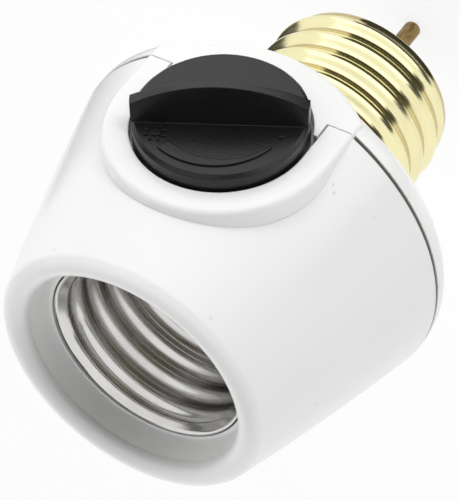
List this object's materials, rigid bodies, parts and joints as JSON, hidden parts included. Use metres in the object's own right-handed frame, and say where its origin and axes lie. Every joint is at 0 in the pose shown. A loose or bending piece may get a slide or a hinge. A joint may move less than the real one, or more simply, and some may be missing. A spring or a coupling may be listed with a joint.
{
  "type": "lamp socket dimmer",
  "caption": "Plug-in lamp socket with a built-in dimmer: a brass screw base at one end, a lamp socket in a rounded white cone at the other, and a black rotary knob on the side.",
  "frame": {"origin": "on the lamp axis, in the plane of the white housing's rear face, where the brass base leaves it", "axes": "+Z along the lamp axis towards the socket mouth, -Y out through the knob, +X across the body"},
  "size_m": [0.0529, 0.0567, 0.0728],
  "materials": {
    "white_plastic": "smooth gloss moulding",
    "zinc_steel": "zinc plated",
    "black_plastic": "fine pebble texture",
    "base_brass": "bright rolled sheet",
    "contact_brass": "bright",
    "socket_metal": "bright rolled sheet",
    "rivet_brass": "satin",
    "board_laminate": "paper laminate",
    "case_plastic": "satin moulding",
    "track_laminate": "laminate with a carbon track",
    "tinned_metal": "tinned",
    "rotor_plastic": "natural moulding",
    "film_case": "resin coated",
    "ferrite": "bare ferrite",
    "copper_wire": "enamelled copper",
    "resistor_coat": "lacquer",
    "diac_coat": "glass bead",
    "line_insulation": "extruded",
    "neutral_insulation": "extruded",
    "load_insulation": "extruded"
  },
  "bodies": {
    "housing": {"front_housing": "white_plastic", "rear_housing": "white_plastic", "housing_screws": "zinc_steel", "base_screw_shell": "base_brass", "base_contact_pin": "contact_brass", "socket_screw_shell": "socket_metal", "socket_contact_leaf": "contact_brass", "socket_rivets": "rivet_brass", "circuit_board": "board_laminate", "potentiometer_case": "case_plastic", "potentiometer_track": "track_laminate", "potentiometer_terminals": "tinned_metal", "triac": "case_plastic", "film_capacitor": "film_case", "timing_capacitor": "film_case", "choke_core": "ferrite", "choke_winding": "copper_wire", "resistor": "resistor_coat", "diac": "diac_coat", "line_wire": "line_insulation", "neutral_wire": "neutral_insulation", "load_wire": "load_insulation"},
    "knob": {"dimmer_knob": "black_plastic", "potentiometer_rotor": "rotor_plastic", "potentiometer_wiper": "contact_brass"}
  },
  "joints": [
    {"name": "knob_turn", "type": "hinge", "parent": "housing", "child": "knob", "pos_m": [0, 0, 0.01507], "axis": [0, -1, 0], "range_deg": [-150, 150]}
  ]
}
